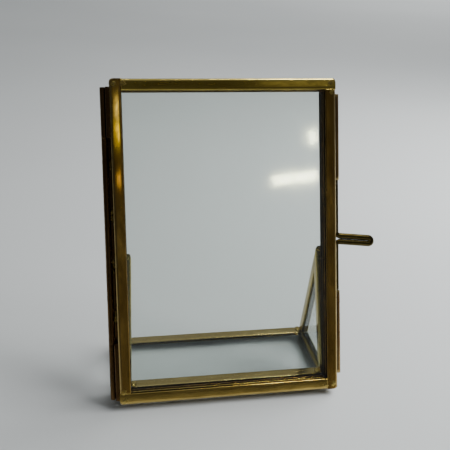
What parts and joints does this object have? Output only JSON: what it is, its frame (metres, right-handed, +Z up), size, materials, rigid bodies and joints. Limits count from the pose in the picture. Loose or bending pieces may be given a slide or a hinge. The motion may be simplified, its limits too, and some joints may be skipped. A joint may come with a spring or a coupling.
{
  "type": "standing glass photo frame",
  "caption": "Antique brass and glass photo frame: a hinged glass door with a sliding wire bolt closes on a leaning rear pane held up by a glass base and triangular glass sides.",
  "frame": {"origin": "middle of the object's box, on the table under the base channels", "axes": "+X towards the bolt's handle, +Y from the door back to the base, +Z up"},
  "size_m": [0.138, 0.0624, 0.1522],
  "materials": {
    "channel_brass": "dark antique brass, folded sheet, tarnished and rubbed bright along its edges",
    "tube_brass": "dark antique brass tube and wire",
    "solder": "soft solder stained to match the brass",
    "clear_glass": "clear flat glass with ground edges"
  },
  "bodies": {
    "stand": {"rear_bottom_channel": "channel_brass", "rear_left_channel": "channel_brass", "rear_right_channel": "channel_brass", "rear_top_channel": "channel_brass", "rear_glass": "clear_glass", "rear_middle_knuckle": "tube_brass", "hinge_pin": "tube_brass", "rear_latch_tube": "tube_brass", "base_front_channel": "channel_brass", "base_back_channel": "channel_brass", "base_glass": "clear_glass", "left_side_foot_channel": "channel_brass", "left_side_sloping_channel": "channel_brass", "left_side_upright_channel": "channel_brass", "left_side_glass": "clear_glass", "right_side_foot_channel": "channel_brass", "right_side_sloping_channel": "channel_brass", "right_side_upright_channel": "channel_brass", "right_side_glass": "clear_glass", "solder_front_left": "solder", "solder_front_right": "solder", "solder_back_left": "solder", "solder_back_right": "solder"},
    "door": {"door_bottom_channel": "channel_brass", "door_left_channel": "channel_brass", "door_right_channel": "channel_brass", "door_top_channel": "channel_brass", "door_glass": "clear_glass", "door_lower_knuckle": "tube_brass", "door_upper_knuckle": "tube_brass", "door_latch_tube": "tube_brass"},
    "bolt": {"latch_bolt": "tube_brass"}
  },
  "joints": [
    {"name": "door_swing", "type": "hinge", "parent": "stand", "child": "door", "pos_m": [-0.0675, 0.00017, 0.07678], "axis": [0, -0.342, -0.9397], "range_deg": [0, 170]},
    {"name": "bolt_slide", "type": "slide", "parent": "stand", "child": "bolt", "axis": [0, -0.342, -0.9397], "range_m": [-0.027, 0.022]}
  ]
}
